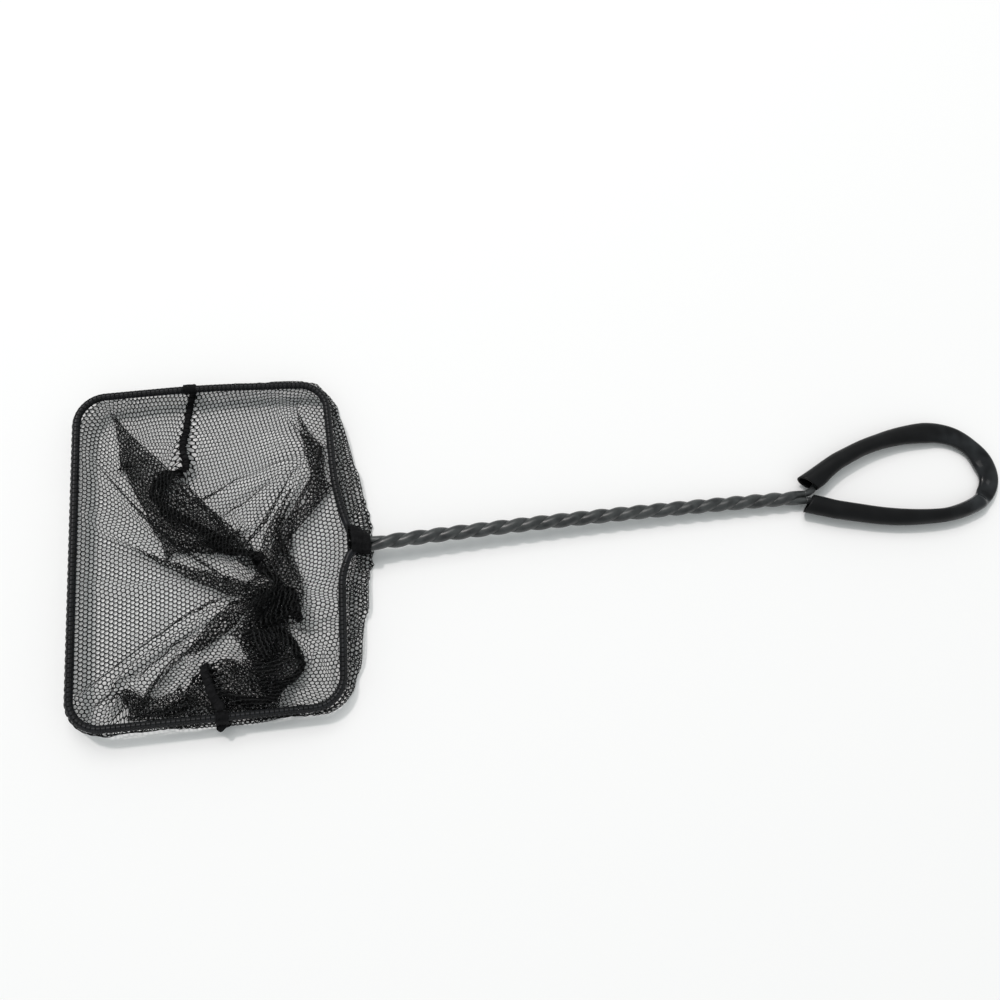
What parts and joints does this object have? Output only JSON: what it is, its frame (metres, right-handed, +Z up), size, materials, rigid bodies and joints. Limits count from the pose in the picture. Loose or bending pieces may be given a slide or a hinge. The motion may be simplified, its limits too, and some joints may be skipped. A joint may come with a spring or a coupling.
{
  "type": "aquarium fish net",
  "caption": "Aquarium fish net: a rounded rectangular hoop of coated wire with a soft netting bag, a twisted wire handle and a hanging loop in a loose vinyl sleeve.",
  "frame": {"origin": "on the table, under the centre of the mouth hoop, where the bag rests", "axes": "+X from the mouth along the handle to the hanging loop, +Y across the mouth, +Z up, out of the mouth"},
  "size_m": [0.3628, 0.1364, 0.0118],
  "materials": {
    "coated_wire": "satin",
    "vinyl_sleeve": "satin",
    "netting": "matte",
    "sewing_thread": "matte"
  },
  "bodies": {
    "root": {"hoop_wire": "coated_wire", "handle_strand_a": "coated_wire", "handle_strand_b": "coated_wire", "loop_wire_upper": "coated_wire", "loop_wire_lower": "coated_wire", "grip_sleeve": "vinyl_sleeve", "mouth_hem": "netting", "hem_stitching": "sewing_thread", "seam_ends": "sewing_thread", "neck_gather": "netting", "bag_tip_panel": "netting", "bag_handle_panel": "netting", "bag_seam": "sewing_thread"}
  },
  "joints": []
}
